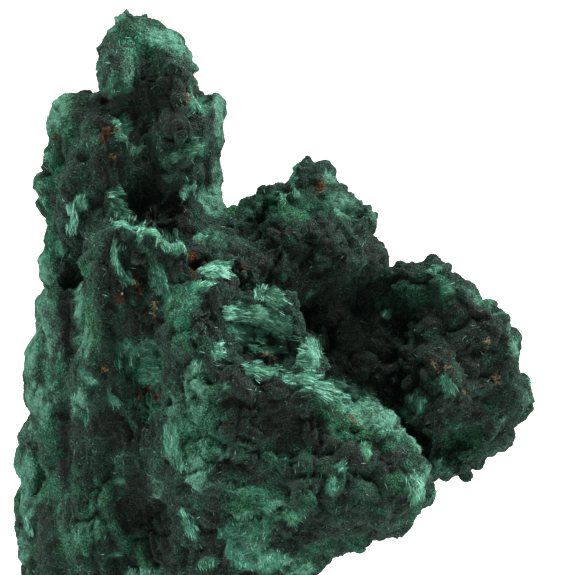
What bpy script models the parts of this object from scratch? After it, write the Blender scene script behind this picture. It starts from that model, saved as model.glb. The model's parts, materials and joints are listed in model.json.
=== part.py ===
"""A fibrous malachite specimen: one mass of velvety green mineral that grew as stalactite fingers.

A tall tower stands at the left. In front of it is a shell with a broken rim, and a dark hollow
behind the rim. A thick near finger comes towards the viewer and ends in an open, broken crown.
A middle lobe and a far lobe lean out to the right behind it. The foot is broken off flat.

The script works in metres with +Z up. The tables below are in millimetres.
"""

import math
import random

import bmesh
import bpy
from mathutils import Matrix, Vector, noise

MM = 0.001

# The height of a lobe is measured up the picture plane of a viewer who looks down by this angle.
LOOK_DOWN = math.radians(12)

# Voxel sizes of the two fusings, and the size of the finished mesh
CORE_VOXEL = 0.7 * MM
SKIN_VOXEL = 0.5 * MM
FINISHED_TRIANGLES = 9700

# Lumps that the crust grew: their radii on the ribbed left side and on the lobes at the right, how
# deep each one sits, and how far they stand out on average (the lobes are drawn in by as much).
# They keep clear of the hollows.
LUMP_SEED = 24
LUMP_TRIES = 6000
RIB_LUMP_RADIUS = (1.0 * MM, 1.9 * MM)
LOBE_LUMP_RADIUS = (1.2 * MM, 2.6 * MM)
LOBES_START = -9.0 * MM
RIB_LUMP_STRETCH = 1.9
LOBE_LUMP_STRETCH = 1.3
LUMP_SPACING = 1.2
LUMP_SUNK = 0.6
LUMPS_PROUD = 0.5
HOLLOW_CLEARANCE = 1.5

# Unevenness of the whole crust
WARP_SCALE = 3.0 * MM
WARP_DEPTH = 0.4 * MM

COLOUR = (0.012, 0.085, 0.045, 1.0)
ROUGHNESS = 0.75

# Lobes: x across, height up the picture, y away from the viewer, then the radii along x, y and z
TOWER = (
    (-11.0, 10.0, 1.5, 14.0, 14.5, 19.0),
    (-10.5, 30.0, 2.0, 12.3, 12.0, 17.0),
    (-14.6, 45.5, 3.2, 8.0, 8.6, 12.5),
    (-11.8, 54.5, 3.4, 5.2, 5.8, 8.0),
    (-14.6, 63.5, 1.6, 1.6, 2.8, 2.2),
    (-12.7, 62.5, 2.5, 2.1, 3.2, 2.3),
    (-10.3, 60.9, 2.5, 2.5, 3.5, 2.5),
    (-15.5, 59.4, -0.6, 2.5, 4.2, 3.3),
    (-9.9, 58.2, 0.8, 2.8, 4.6, 3.2),
    (-9.2, 52.8, -0.6, 3.4, 5.8, 5.4),
    (-10.2, 49.0, -2.0, 2.6, 4.4, 2.6),
)
SHOULDER = (
    (-20.4, 54.0, 1.5, 2.7, 4.0, 3.7),
    (-18.6, 55.6, 2.2, 2.3, 3.6, 2.2),
    (-16.6, 51.0, -2.8, 2.9, 4.2, 4.8),
    (-19.4, 46.6, -3.4, 2.4, 3.8, 5.4),
    (-16.2, 45.4, -4.6, 2.3, 3.2, 3.6),
)
FAR_RIDGE = (
    (-6.5, 53.8, 8.0, 1.9, 3.6, 4.2),
    (-6.5, 46.8, 8.4, 1.9, 3.6, 4.6),
    (-7.2, 41.5, 9.0, 2.6, 3.6, 3.4),
    (-11.8, 47.0, 10.2, 4.6, 4.0, 7.6),
)
FLANK = (
    (-21.5, 47.4, 1.4, 2.4, 3.0, 5.4),
    (-21.0, 40.6, -0.8, 2.8, 2.6, 4.4),
    (-21.9, 34.0, 2.4, 2.4, 2.8, 4.6),
    (-22.8, 28.4, -0.6, 2.6, 2.8, 5.8),
    (-23.2, 21.0, 2.8, 3.0, 3.0, 5.6),
    (-23.4, 13.6, 0.2, 3.2, 3.0, 6.4),
    (-23.3, 5.0, 2.4, 3.3, 3.4, 6.8),
    (-21.2, 33.6, -4.4, 1.9, 2.6, 6.2),
    (-21.5, 22.6, -5.0, 2.1, 2.8, 6.8),
    (-21.6, 11.0, -5.6, 2.3, 2.8, 6.4),
    (-20.6, 2.0, -6.0, 2.8, 3.4, 5.4),
    (-19.7, 31.0, -5.0, 1.7, 2.4, 7.4),
    (-19.9, 19.0, -6.0, 1.7, 2.6, 7.4),
    (-20.4, 43.6, 6.2, 2.2, 3.0, 6.4),
    (-21.3, 32.0, 7.2, 2.4, 3.0, 6.0),
    (-22.0, 21.0, 8.0, 2.4, 3.2, 7.2),
    (-22.2, 8.6, 7.4, 2.8, 3.4, 6.6),
)
FRONT_SHELL = (
    (-16.4, 38.6, -8.2, 2.9, 4.4, 5.6),
    (-12.6, 35.0, -8.6, 3.0, 4.4, 6.0),
    (-9.6, 38.6, -8.4, 2.5, 4.0, 3.0),
    (-15.0, 43.2, -9.4, 1.8, 3.0, 1.7),
    (-12.4, 42.3, -10.2, 1.8, 2.8, 1.5),
    (-9.9, 41.4, -10.4, 2.1, 2.6, 1.6),
    (-17.0, 27.6, -8.8, 3.3, 5.0, 7.4),
    (-12.8, 23.0, -8.4, 3.8, 5.2, 8.0),
    (-17.4, 14.6, -8.8, 3.9, 5.4, 7.6),
    (-12.2, 9.0, -8.2, 5.4, 6.2, 8.2),
    (-16.4, 3.0, -7.6, 5.6, 6.2, 6.0),
)
SADDLE = (
    (-6.4, 41.4, -4.8, 2.9, 4.8, 3.0),
    (-3.6, 39.4, -1.6, 3.4, 4.6, 3.2),
    (0.6, 38.4, 0.6, 3.6, 4.6, 3.6),
)
NEAR_FINGER = (
    (-4.0, 22.5, -12.0, 9.0, 9.2, 10.4),
    (-6.2, 28.4, -12.8, 5.4, 7.2, 5.4),
    (4.4, 19.6, -13.2, 8.4, 8.6, 8.2),
    (10.0, 18.8, -12.8, 5.7, 7.4, 6.2),
    (8.8, 23.0, -13.4, 4.6, 6.0, 4.2),
    (11.4, 15.8, -11.4, 2.7, 5.2, 3.1),
    (6.6, 14.4, -12.4, 3.8, 6.2, 3.3),
    (0.6, 14.6, -12.6, 7.0, 8.0, 6.4),
    (-3.6, 11.6, -10.6, 8.4, 8.6, 9.0),
    (1.2, 10.2, -9.4, 3.8, 6.6, 3.2),
    (-7.2, 4.0, -8.6, 7.4, 7.2, 7.4),
)
CROWN = (
    (-7.6, 33.0, -13.2, 3.7, 6.0, 5.6),
    (-5.8, 38.0, -12.6, 2.7, 3.8, 2.1),
    (-1.6, 33.6, -10.0, 4.4, 2.8, 4.6),
    (0.6, 35.0, -9.6, 2.6, 2.4, 2.4),
    (3.6, 30.4, -12.0, 2.0, 4.4, 3.4),
    (1.4, 27.4, -17.0, 4.6, 2.8, 2.8),
    (-3.8, 28.8, -17.4, 2.6, 2.8, 3.2),
)
MIDDLE_LOBE = (
    (3.4, 41.6, 7.0, 6.8, 7.2, 6.8),
    (-2.2, 45.0, 9.0, 2.2, 3.8, 2.6),
    (-4.4, 43.4, 6.0, 1.9, 3.6, 2.2),
    (0.6, 46.2, 5.0, 2.6, 4.0, 2.7),
    (3.9, 48.3, 8.0, 2.1, 4.0, 2.5),
    (6.3, 46.1, 8.0, 2.3, 4.2, 2.6),
    (8.3, 44.4, 6.6, 2.4, 4.2, 2.8),
    (9.4, 40.4, 4.6, 2.3, 4.4, 3.0),
    (10.4, 36.4, 8.6, 3.8, 4.2, 4.0),
    (5.6, 41.4, 1.2, 3.8, 4.4, 4.0),
    (1.0, 42.4, 1.0, 3.0, 3.8, 3.0),
)
FAR_LOBE = (
    (17.6, 29.6, 5.0, 6.6, 8.4, 8.4),
    (13.6, 37.8, 5.0, 1.9, 4.2, 2.6),
    (15.9, 39.0, 4.4, 1.8, 4.0, 2.2),
    (18.4, 36.7, 3.2, 2.4, 4.6, 2.6),
    (21.2, 33.8, 2.2, 2.6, 4.6, 2.6),
    (23.3, 31.4, 2.6, 2.0, 4.4, 2.2),
    (23.7, 27.0, 2.8, 2.6, 4.6, 2.8),
    (21.6, 23.6, 2.8, 2.8, 4.8, 2.7),
    (18.8, 21.0, 2.6, 2.6, 4.8, 2.6),
    (15.6, 21.0, 2.0, 2.8, 4.8, 3.0),
    (16.4, 28.0, -0.6, 4.2, 4.2, 5.0),
    (13.4, 17.8, -2.6, 3.0, 4.0, 2.9),
)
BODY_RIGHT = (
    (-1.5, 24.0, 3.0, 9.2, 11.6, 12.0),
    (6.5, 30.0, 7.0, 6.5, 7.4, 8.4),
    (11.5, 27.6, 7.4, 5.0, 6.0, 6.4),
    (5.0, 19.0, 3.0, 7.0, 8.4, 6.2),
    (9.8, 19.2, -4.2, 4.2, 5.2, 4.0),
    (-6.0, 8.0, 2.0, 9.2, 12.2, 13.0),
)
BACK = (
    (-17.0, 38.0, 8.6, 4.8, 5.2, 7.4),
    (-13.6, 26.0, 11.4, 5.0, 4.8, 9.0),
    (-18.4, 17.0, 10.8, 4.2, 4.8, 6.6),
    (-6.0, 33.0, 12.0, 5.6, 4.8, 6.6),
    (-5.0, 20.6, 12.6, 5.6, 5.2, 6.2),
    (4.4, 23.0, 11.2, 5.2, 4.6, 5.4),
    (-10.4, 8.0, 12.2, 6.0, 5.0, 7.8),
    (-1.0, 40.0, 11.6, 4.0, 3.6, 4.0),
)
LOBES = (
    TOWER
    + SHOULDER
    + FAR_RIDGE
    + FLANK
    + FRONT_SHELL
    + SADDLE
    + NEAR_FINGER
    + CROWN
    + MIDDLE_LOBE
    + FAR_LOBE
    + BODY_RIGHT
    + BACK
)

# Hollows, in the same columns: two behind the broken rim, one under the arch, the crater in the
# crown of the near finger, the broken window of the shell, and the cleft before the far lobe
HOLLOWS = (
    (-12.6, 46.2, -6.4, 2.5, 5.4, 2.6),
    (-9.7, 45.6, -6.0, 2.5, 5.0, 2.4),
    (-7.7, 48.4, -4.6, 1.0, 3.4, 1.4),
    (-0.4, 32.0, -15.6, 3.8, 4.4, 2.4),
    (-13.5, 38.6, -13.6, 1.4, 3.0, 3.2),
    (8.6, 32.6, -4.6, 3.4, 5.0, 3.8),
    (12.6, 26.0, -5.0, 2.0, 2.8, 6.0),
    (5.4, 34.4, -6.8, 1.8, 4.0, 2.4),
)


def clear_scene():
    for thing in list(bpy.data.objects):
        bpy.data.objects.remove(thing)


def centre_of(x, height, y):
    """The row-frame centre of a lobe given as x, height up the picture and depth, in millimetres."""
    z = (height - y * math.sin(LOOK_DOWN)) / math.cos(LOOK_DOWN)
    return Vector((x, y, z)) * MM


def unit_ball(roundness):
    bm = bmesh.new()
    bmesh.ops.create_icosphere(bm, subdivisions=roundness, radius=1.0)
    ball = bpy.data.meshes.new("unit_ball")
    bm.to_mesh(ball)
    bm.free()
    return ball


def add_ellipsoid(bm, ball, centre, radii, turn=Matrix()):
    """Adds the ball stretched to the three radii, turned by the matrix and moved to the centre."""
    stretched = ball.copy()
    stretched.transform(Matrix.Translation(centre) @ turn @ Matrix.Diagonal((*radii, 1.0)))
    bm.from_mesh(stretched)
    bpy.data.meshes.remove(stretched)


def object_of(name, bm):
    """A linked object that holds the bmesh, which is freed."""
    mesh = bpy.data.meshes.new(name)
    bm.to_mesh(mesh)
    bm.free()
    made = bpy.data.objects.new(name, mesh)
    bpy.context.scene.collection.objects.link(made)
    return made


def apply_modifiers(thing):
    """Keeps the evaluated shape as the object's own mesh and removes the modifiers."""
    graph = bpy.context.evaluated_depsgraph_get()
    finished = bpy.data.meshes.new_from_object(thing.evaluated_get(graph))
    thing.modifiers.clear()
    thing.data = finished


def lobes_object(name, rows, drawn_in=0.0):
    """One ellipsoid for each row of a table, all in one object, each drawn in by that many mm."""
    ball = unit_ball(3)
    bm = bmesh.new()
    for x, height, y, *radii in rows:
        add_ellipsoid(bm, ball, centre_of(x, height, y), [(r - drawn_in) * MM for r in radii])
    return object_of(name, bm)


def fuse(thing, voxel):
    """Fuses everything that overlaps in the object into one even skin."""
    remesh = thing.modifiers.new("Fuse", "REMESH")
    remesh.mode = "VOXEL"
    remesh.voxel_size = voxel
    apply_modifiers(thing)
    keep_largest_shell(thing)


def shell_from(start, unseen):
    """All vertices joined to the first one by edges, taken out of the unseen set."""
    unseen.discard(start)
    found, waiting = [start], [start]
    while waiting:
        for edge in waiting.pop().link_edges:
            for vert in edge.verts:
                if vert in unseen:
                    unseen.discard(vert)
                    found.append(vert)
                    waiting.append(vert)
    return found


def keep_largest_shell(thing):
    """Drops the small closed bubbles that a fusing can leave inside the body."""
    bm = bmesh.new()
    bm.from_mesh(thing.data)
    unseen = set(bm.verts)
    shells = []
    while unseen:
        shells.append(shell_from(next(iter(unseen)), unseen))
    shells.sort(key=len)
    for shell in shells[:-1]:
        bmesh.ops.delete(bm, geom=shell, context="VERTS")
    bm.to_mesh(thing.data)
    bm.free()


def cut_hollows(body):
    """Takes the hollows out of the body."""
    cutter = lobes_object("hollow_cutter", HOLLOWS)
    cutter.hide_render = True
    cutter.display_type = "WIRE"
    difference = body.modifiers.new("Hollows", "BOOLEAN")
    difference.operation = "DIFFERENCE"
    difference.solver = "EXACT"
    difference.object = cutter
    difference.use_self = True
    apply_modifiers(body)
    bpy.data.objects.remove(cutter)


def hollow_depth(point):
    """How far inside the nearest hollow a point is: 0 at its middle, over 1 outside all of them."""
    shares = []
    for x, height, y, *radii in HOLLOWS:
        away = point - centre_of(x, height, y)
        shares.append(math.hypot(*(away[i] / (radii[i] * MM) for i in range(3))))
    return min(shares)


def lump_sites(body):
    """Seeded places on the skin, each with its normal and radius, spaced by their sizes."""
    rng = random.Random(LUMP_SEED)
    faces = list(body.data.polygons)
    areas = [face.area for face in faces]
    sites = []
    for face in rng.choices(faces, weights=areas, k=LUMP_TRIES):
        place = face.center.copy()
        radius = rng.uniform(*(RIB_LUMP_RADIUS if place.x < LOBES_START else LOBE_LUMP_RADIUS))
        crowded = any(
            (place - other).length < LUMP_SPACING * (radius + size) / 2 for other, _, size in sites
        )
        if not crowded and hollow_depth(place) > HOLLOW_CLEARANCE:
            sites.append((place, face.normal.copy(), radius))
    return sites


def grow_lumps(body):
    """Adds the lumps of the crust: long upright ones on the left side, rounder ones elsewhere.

    Where the skin looks up or down the lumps are round, so that none stands up as a spike.
    """
    rng = random.Random(LUMP_SEED + 1)
    ball = unit_ball(2)
    bm = bmesh.new()
    bm.from_mesh(body.data)
    for place, normal, radius in lump_sites(body):
        stretch = RIB_LUMP_STRETCH if place.x < LOBES_START else LOBE_LUMP_STRETCH
        longest = 1 + (stretch - 1) * (1 - abs(normal.z))
        radii = (radius, radius * rng.uniform(0.8, 1.0), radius * rng.uniform(0.9, longest))
        turn = Matrix.Rotation(rng.uniform(-0.5, 0.5), 4, normal)
        add_ellipsoid(bm, ball, place - normal * radius * LUMP_SUNK, radii, turn)
    bm.to_mesh(body.data)
    bm.free()


def warp(body):
    """Moves the skin in and out by smooth noise, so that no lobe stays a perfect ellipsoid."""
    bm = bmesh.new()
    bm.from_mesh(body.data)
    bm.normal_update()
    for vert in bm.verts:
        sway = noise.fractal(vert.co / WARP_SCALE, 0.9, 2.1, 3)
        vert.co += vert.normal * WARP_DEPTH * sway
    bmesh.ops.smooth_vert(bm, verts=bm.verts, factor=0.3, use_axis_x=True, use_axis_y=True, use_axis_z=True)
    bm.to_mesh(body.data)
    bm.free()


def thin_out(body, triangles):
    """Reduces the skin to about the given number of triangles, fewest where it is flattest."""
    reduce = body.modifiers.new("Thin out", "DECIMATE")
    now = sum(len(face.vertices) - 2 for face in body.data.polygons)
    reduce.ratio = triangles / now
    reduce.use_collapse_triangulate = True
    apply_modifiers(body)


def break_off_foot(body):
    """Cuts the mass off flat at z = 0, where it was broken from the rock."""
    bm = bmesh.new()
    bm.from_mesh(body.data)
    everything = bm.verts[:] + bm.edges[:] + bm.faces[:]
    cut = bmesh.ops.bisect_plane(
        bm, geom=everything, plane_co=(0, 0, 0), plane_no=(0, 0, 1), clear_inner=True
    )
    rim = [edge for edge in cut["geom_cut"] if isinstance(edge, bmesh.types.BMEdge)]
    bmesh.ops.holes_fill(bm, edges=rim, sides=0)
    bmesh.ops.triangulate(bm, faces=[face for face in bm.faces if len(face.verts) > 3])
    bmesh.ops.recalc_face_normals(bm, faces=bm.faces)
    bm.to_mesh(body.data)
    bm.free()


def stand_on_origin(body):
    """Puts the middle of the specimen's box above the origin. Its foot is already at z = 0."""
    corners = [Vector(corner) for corner in body.bound_box]
    middle = sum(corners, Vector()) / len(corners)
    body.data.transform(Matrix.Translation((-middle.x, -middle.y, 0)))


def malachite_material():
    material = bpy.data.materials.new("malachite")
    material.use_nodes = True
    shader = material.node_tree.nodes["Principled BSDF"]
    shader.inputs["Base Color"].default_value = COLOUR
    shader.inputs["Roughness"].default_value = ROUGHNESS
    shader.inputs["Metallic"].default_value = 0.0
    return material


def make_specimen():
    body = lobes_object("malachite", LOBES, LUMPS_PROUD)
    fuse(body, CORE_VOXEL)
    cut_hollows(body)
    grow_lumps(body)
    fuse(body, SKIN_VOXEL)
    warp(body)
    thin_out(body, FINISHED_TRIANGLES)
    break_off_foot(body)
    stand_on_origin(body)
    body.data.materials.append(malachite_material())
    return body


clear_scene()
make_specimen()
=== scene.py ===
"""The fibrous malachite specimen, dressed for its portrait.

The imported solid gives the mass. On it grow a fine lumpy crust, a velvet of short fibres, silky
light green sheaves where the crust is broken, and a few rusty and tan crumbs.

Places that were read off the photograph are given in its pixels, which are 0.1 mm each here. A
ray along the camera's line of sight finds the skin behind such a pixel.
"""

import json
import math
import random

import bmesh
import bpy
import numpy as np
from mathutils import Matrix, Vector, noise
from mathutils.bvhtree import BVHTree
from mathutils.kdtree import KDTree

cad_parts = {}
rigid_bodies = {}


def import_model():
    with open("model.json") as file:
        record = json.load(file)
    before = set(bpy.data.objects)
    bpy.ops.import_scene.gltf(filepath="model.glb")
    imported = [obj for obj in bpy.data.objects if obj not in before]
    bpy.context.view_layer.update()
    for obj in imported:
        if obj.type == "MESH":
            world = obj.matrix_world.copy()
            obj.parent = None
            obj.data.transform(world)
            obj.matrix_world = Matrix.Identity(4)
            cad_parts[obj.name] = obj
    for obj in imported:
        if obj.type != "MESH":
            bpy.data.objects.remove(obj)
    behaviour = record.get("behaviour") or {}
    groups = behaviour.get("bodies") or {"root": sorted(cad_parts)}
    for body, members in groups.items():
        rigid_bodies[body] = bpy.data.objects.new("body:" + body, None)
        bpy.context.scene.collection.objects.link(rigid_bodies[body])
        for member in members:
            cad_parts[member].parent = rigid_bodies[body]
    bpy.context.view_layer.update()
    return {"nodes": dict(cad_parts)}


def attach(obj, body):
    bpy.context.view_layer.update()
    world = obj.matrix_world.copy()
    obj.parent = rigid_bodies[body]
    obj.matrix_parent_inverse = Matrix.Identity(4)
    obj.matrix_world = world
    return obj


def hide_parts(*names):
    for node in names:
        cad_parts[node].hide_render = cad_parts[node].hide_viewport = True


MM = 0.001
PIXEL = 0.1 * MM
PICTURE = 575
LOOK_DOWN = math.radians(12)
LOOK = Vector((0.0, math.cos(LOOK_DOWN), -math.sin(LOOK_DOWN)))
UP_THE_PICTURE = Vector((0.0, math.sin(LOOK_DOWN), math.cos(LOOK_DOWN)))
CAMERA_AWAY = 0.85
TOP_ROW = 12
MIDDLE_COLUMN = 273.0  # the column where x is 0
NOISE_SEED = 4

# The crust: the voxel size of its skin, and how far its lumps' tops reach past the solid. Then for
# each growth of lumps its spacing, how deep its crevices are, how far lumps lean, its seed, how
# much of it the broken places lose, and its shares in the skin's height and in its tone
SKIN_VOXEL = 0.28 * MM
SKIN_RAISED = 0.1 * MM
CRUST_GROWTHS = (
    (3.2 * MM, 1.15 * MM, 0.15, 21, 0.3, 0.5, 0.5),
    (1.45 * MM, 0.74 * MM, 0.2, 22, 0.6, 0.35, 0.4),
    (0.7 * MM, 0.2 * MM, 0.2, 23, 0.8, 0.15, 0.1),
)
FACETS_ROUNDED = 9
FLANK_ROUNDED = 60
LUMPS_ROUNDED = 1
CALM_WHERE_SMOOTH = 0.8
BROKEN_EDGE = (0.42, 0.62)  # across here a broken place begins
OPEN_REACH = 9.0 * MM
CREASE_REACH = 1.2 * MM
BACK_PLACES = 150
RIBS_END = -14.0 * MM
RIB_STRETCH = 2.4
FLANK_FROM = (-19.0 * MM, -22.0 * MM)  # across here the flank grows even
SPLIT_AT = -5.0 * MM  # the crust is two meshes, which meet here

# Places on the picture: column, row, half width, half height, turn in degrees, strength.
# Smooth places have shallower lumps
SMOOTH_PLACES = (
    (150, 45, 50, 30, 0, 1.0),
    (118, 80, 24, 36, 0, 1.0),
    (70, 115, 28, 30, 0, 1.0),
    (44, 230, 16, 70, 0, 1.0),
    (42, 380, 30, 110, 0, 1.0),
    (40, 520, 40, 60, 0, 0.9),
    (90, 330, 16, 60, 0, 0.9),
    (360, 410, 46, 20, -20, 0.6),
    (410, 440, 22, 26, 0, 0.5),
    (218, 268, 20, 9, 0, 1.0),
    (175, 440, 10, 26, 0, 0.7),
    (188, 310, 12, 34, 0, 0.5),
    (218, 150, 14, 70, 0, 1.0),
    (320, 185, 60, 40, 0, 0.35),
    (375, 220, 24, 40, 0, 0.35),
    (480, 330, 50, 70, 0, 0.35),
    (505, 420, 40, 60, 0, 0.4),
    (380, 525, 60, 26, 0, 0.35),
)
# Broken, silky places. After the strength comes the direction in which the fibres run, in degrees
# from the right towards the top of the picture, and how far they fan out
BROKEN_PLACES = (
    (74, 222, 5, 19, 8, 1.0, 80, 20),
    (85, 205, 6, 8, 0, 1.0, 60, 30),
    (121, 193, 9, 4, 0, 0.9, 0, 10),
    (122, 206, 12, 7, -15, 0.8, -15, 10),
    (129, 222, 14, 7, -8, 1.0, 25, 40),
    (152, 229, 13, 8, -20, 1.0, 40, 40),
    (175, 242, 17, 12, -12, 1.0, 98, 20),
    (140, 240, 6, 6, 0, 0.9, 70, 20),
    (121, 256, 6, 17, 8, 1.0, 80, 20),
    (129, 280, 9, 6, -50, 0.9, -50, 20),
    (158, 274, 9, 16, 15, 0.8, 100, 30),
    (168, 292, 6, 14, 15, 0.8, 95, 20),
    (188, 192, 8, 8, 0, 1.0, 80, 70),
    (176, 160, 9, 4, 10, 0.9, 20, 20),
    (200, 152, 14, 9, 0, 0.6, 30, 20),
    (137, 150, 8, 12, 0, 0.6, 80, 20),
    (205, 233, 5, 3, 0, 0.9, 0, 20),
    (218, 268, 19, 7, -6, 1.0, 0, 10),
    (206, 283, 13, 8, 20, 0.8, 35, 20),
    (262, 289, 4, 8, -10, 1.0, 70, 30),
    (276, 297, 12, 9, -35, 1.0, -28, 15),
    (246, 312, 23, 9, -6, 1.0, -8, 15),
    (272, 321, 24, 10, -25, 1.0, -18, 15),
    (242, 330, 16, 8, -10, 0.7, -20, 20),
    (299, 353, 10, 15, 0, 1.0, -45, 20),
    (312, 352, 8, 22, -4, 1.0, 80, 20),
    (262, 367, 19, 5, -10, 1.0, -5, 15),
    (298, 374, 18, 6, -8, 1.0, -8, 15),
    (272, 348, 16, 3, -4, 0.8, 0, 10),
    (220, 349, 6, 7, 0, 1.0, 80, 20),
    (199, 365, 7, 8, 0, 1.0, 60, 50),
    (151, 351, 11, 11, 0, 1.3, 2, 5),
    (153, 371, 12, 11, 0, 1.3, -3, 5),
    (130, 350, 10, 12, 0, 0.7, -70, 15),
    (92, 376, 11, 5, -35, 1.0, -35, 10),
    (117, 398, 4, 9, 30, 0.8, -60, 10),
    (173, 436, 7, 18, 8, 0.9, 90, 20),
    (179, 456, 7, 11, 0, 0.8, 90, 30),
    (189, 519, 5, 15, 30, 1.0, -60, 10),
    (209, 556, 9, 5, 0, 1.0, 20, 40),
    (143, 569, 17, 7, 0, 1.0, 88, 15),
    (248, 528, 26, 20, 20, 0.9, 80, 25),
    (258, 554, 34, 14, -10, 0.9, 100, 30),
    (300, 569, 16, 9, 0, 0.9, 70, 30),
    (118, 553, 7, 3, 0, 0.8, 0, 10),
    (122, 479, 6, 4, 0, 0.9, 10, 30),
    (50, 500, 5, 3, 0, 0.8, 30, 10),
    (27, 522, 3, 15, 12, 0.9, -70, 10),
    (60, 250, 9, 6, -30, 1.0, -40, 10),
    (48, 158, 6, 4, 0, 0.8, 0, 10),
    (87, 416, 4, 8, 0, 1.0, 85, 10),
    (386, 315, 5, 6, 0, 0.9, 60, 40),
    (445, 387, 6, 13, 12, 0.9, 100, 20),
    (415, 405, 10, 9, 0, 0.7, 95, 10),
    (438, 461, 5, 5, 0, 0.8, 80, 20),
    (445, 289, 8, 4, -20, 1.0, -20, 20),
    (417, 484, 10, 17, 0, 0.9, 90, 8),
    (366, 446, 6, 12, 15, 0.7, 70, 20),
    (285, 450, 4, 6, 0, 0.7, 60, 40),
    (340, 461, 6, 6, 0, 0.8, 45, 20),
    (252, 486, 15, 6, -10, 0.7, 10, 20),
    (331, 482, 6, 9, 0, 0.7, 85, 20),
    (268, 505, 13, 5, -35, 0.7, -40, 10),
    (292, 515, 10, 8, 0, 0.7, -50, 20),
    (114, 92, 8, 12, 0, 0.7, 85, 20),
    (195, 116, 4, 3, 0, 0.8, 30, 20),
    (284, 278, 3, 5, 0, 0.8, -60, 10),
    (312, 297, 8, 5, 0, 0.7, 20, 30),
    (340, 460, 6, 5, 0, 0.8, 60, 20),
    (225, 385, 8, 6, 0, 0.6, 0, 20),
)
# Fringes: corners of a line on the picture, the direction in which its blades run, their length
# in mm, how far they fan out, how light they are from 0 to 1
FRINGES = (
    (((70, 204), (79, 203)), -82, 2.3, 10, 1.0),
    (((71, 221), (78, 220)), -76, 2.2, 10, 1.0),
    (((79, 196), (89, 203)), -78, 1.4, 20, 0.8),
    (((113, 189), (112, 197)), -3, 1.6, 8, 0.8),
    (((113, 198), (116, 212)), -18, 1.6, 8, 0.5),
    (((118, 213), (128, 214), (139, 217)), -108, 1.6, 20, 0.9),
    (((139, 218), (150, 221), (163, 219)), -122, 1.5, 25, 0.9),
    (((158, 231), (170, 229), (182, 231), (190, 234)), -86, 2.3, 12, 0.9),
    (((119, 243), (127, 245)), -96, 1.7, 10, 0.9),
    (((117, 258), (125, 260)), -80, 1.9, 10, 0.8),
    (((123, 272), (131, 268)), -58, 1.8, 15, 0.9),
    (((150, 258), (160, 262)), -70, 1.7, 15, 0.5),
    (((155, 275), (165, 277)), -74, 2.1, 15, 0.6),
    (((184, 200), (194, 198)), 108, 1.5, 70, 1.0),
    (((171, 157), (171, 163)), 5, 1.3, 10, 0.7),
    (((183, 161), (186, 150), (190, 141)), 10, 1.9, 20, 0.3),
    (((201, 277), (203, 270), (209, 265)), 8, 1.7, 15, 0.9),
    (((216, 262), (217, 272)), -14, 1.9, 12, 1.0),
    (((257, 301), (263, 301)), 80, 1.7, 25, 1.0),
    (((266, 290), (265, 302)), -24, 1.8, 14, 0.8),
    (((223, 305), (224, 319)), -3, 2.1, 5, 1.0),
    (((239, 305), (240, 321)), -7, 2.1, 6, 0.9),
    (((255, 303), (256, 323)), -14, 2.2, 7, 1.0),
    (((271, 302), (270, 326)), -22, 2.4, 8, 0.9),
    (((237, 325), (238, 337)), -10, 1.9, 14, 0.4),
    (((254, 326), (252, 339)), -11, 2.1, 12, 0.6),
    (((271, 328), (272, 335)), -8, 2.4, 12, 0.7),
    (((249, 342), (249, 347)), -14, 2.0, 8, 0.6),
    (((267, 346), (267, 350)), -5, 2.1, 8, 0.6),
    (((300, 338), (310, 333), (318, 339)), -82, 2.5, 14, 1.0),
    (((313, 340), (316, 352), (317, 366)), 176, 1.9, 16, 1.0),
    (((242, 361), (246, 368)), -11, 2.1, 10, 0.7),
    (((261, 364), (262, 372)), -14, 2.1, 10, 0.8),
    (((281, 369), (281, 377)), -8, 2.2, 10, 0.9),
    (((299, 371), (297, 385)), -15, 2.5, 10, 1.0),
    (((319, 376), (315, 392)), -24, 2.5, 10, 0.9),
    (((335, 381), (333, 392)), -20, 2.5, 10, 0.8),
    (((355, 388), (351, 398)), -23, 2.5, 10, 0.7),
    (((215, 343), (217, 353)), -6, 1.1, 20, 1.0),
    (((193, 360), (205, 358)), -90, 1.5, 30, 0.9),
    (((143, 341), (143, 352)), 1, 1.6, 3, 0.8),
    (((143, 354), (143, 364)), -1, 1.7, 3, 0.7),
    (((143, 366), (143, 379)), 2, 1.8, 3, 0.8),
    (((117, 342), (136, 339)), -70, 1.5, 12, 0.4),
    (((117, 358), (136, 356)), -74, 1.5, 12, 0.4),
    (((82, 367), (86, 377)), -32, 1.9, 8, 0.8),
    (((109, 389), (116, 388)), -61, 2.2, 8, 0.7),
    (((166, 422), (178, 420)), -88, 2.2, 12, 0.5),
    (((173, 444), (184, 442)), -86, 2.0, 14, 0.45),
    (((178, 504), (184, 502)), -57, 2.0, 10, 0.8),
    (((187, 516), (194, 515)), -66, 1.5, 10, 0.7),
    (((256, 513), (264, 529), (272, 546)), 190, 1.8, 14, 0.2),
    (((243, 517), (250, 538), (260, 557)), 200, 1.6, 20, 0.3),
    (((129, 562), (145, 563), (160, 564)), -88, 1.7, 12, 0.9),
    (((438, 375), (447, 374)), -71, 2.3, 14, 0.65),
    (((405, 394), (418, 393)), -86, 1.6, 10, 0.2),
    (((403, 472), (416, 468)), -76, 2.4, 10, 0.8),
    (((24, 512), (28, 511)), -70, 2.2, 6, 0.8),
    (((200, 556), (216, 552)), -80, 1.0, 25, 0.8),
)
TUFTS_PER_MM = 9
TUFT_BLADES = (6, 15)
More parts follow.
